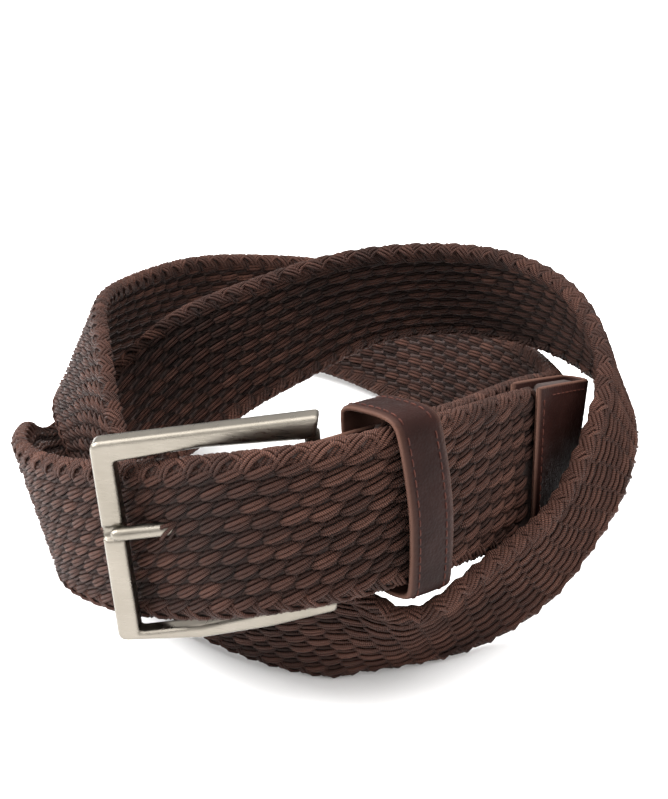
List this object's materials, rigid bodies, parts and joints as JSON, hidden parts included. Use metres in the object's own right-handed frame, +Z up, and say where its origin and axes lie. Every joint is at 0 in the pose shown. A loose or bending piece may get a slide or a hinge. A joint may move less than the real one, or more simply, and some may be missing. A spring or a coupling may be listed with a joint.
{
  "type": "elastic belt",
  "caption": "Coiled elastic braided belt, fastened at the front by a rectangular pin buckle, with a leather keeper loop and a leather tip.",
  "frame": {"origin": "middle of the bounding box at the bottom, on the surface the coiled belt rests on", "axes": "+Z up from the surface, -Y towards the side with the buckle, +X towards the strap's free end"},
  "size_m": [0.1509, 0.1835, 0.0723],
  "materials": {
    "braid": "braided",
    "buckle_metal": "satin",
    "prong_metal": "satin",
    "chape_leather": "semi_gloss",
    "keeper_leather": "semi_gloss",
    "tip_leather": "semi_gloss"
  },
  "bodies": {
    "root": {"braided_strap": "braid", "buckle_frame": "buckle_metal", "buckle_prong": "prong_metal", "leather_chape": "chape_leather", "keeper_loop": "keeper_leather", "tip_tab": "tip_leather"}
  },
  "joints": []
}
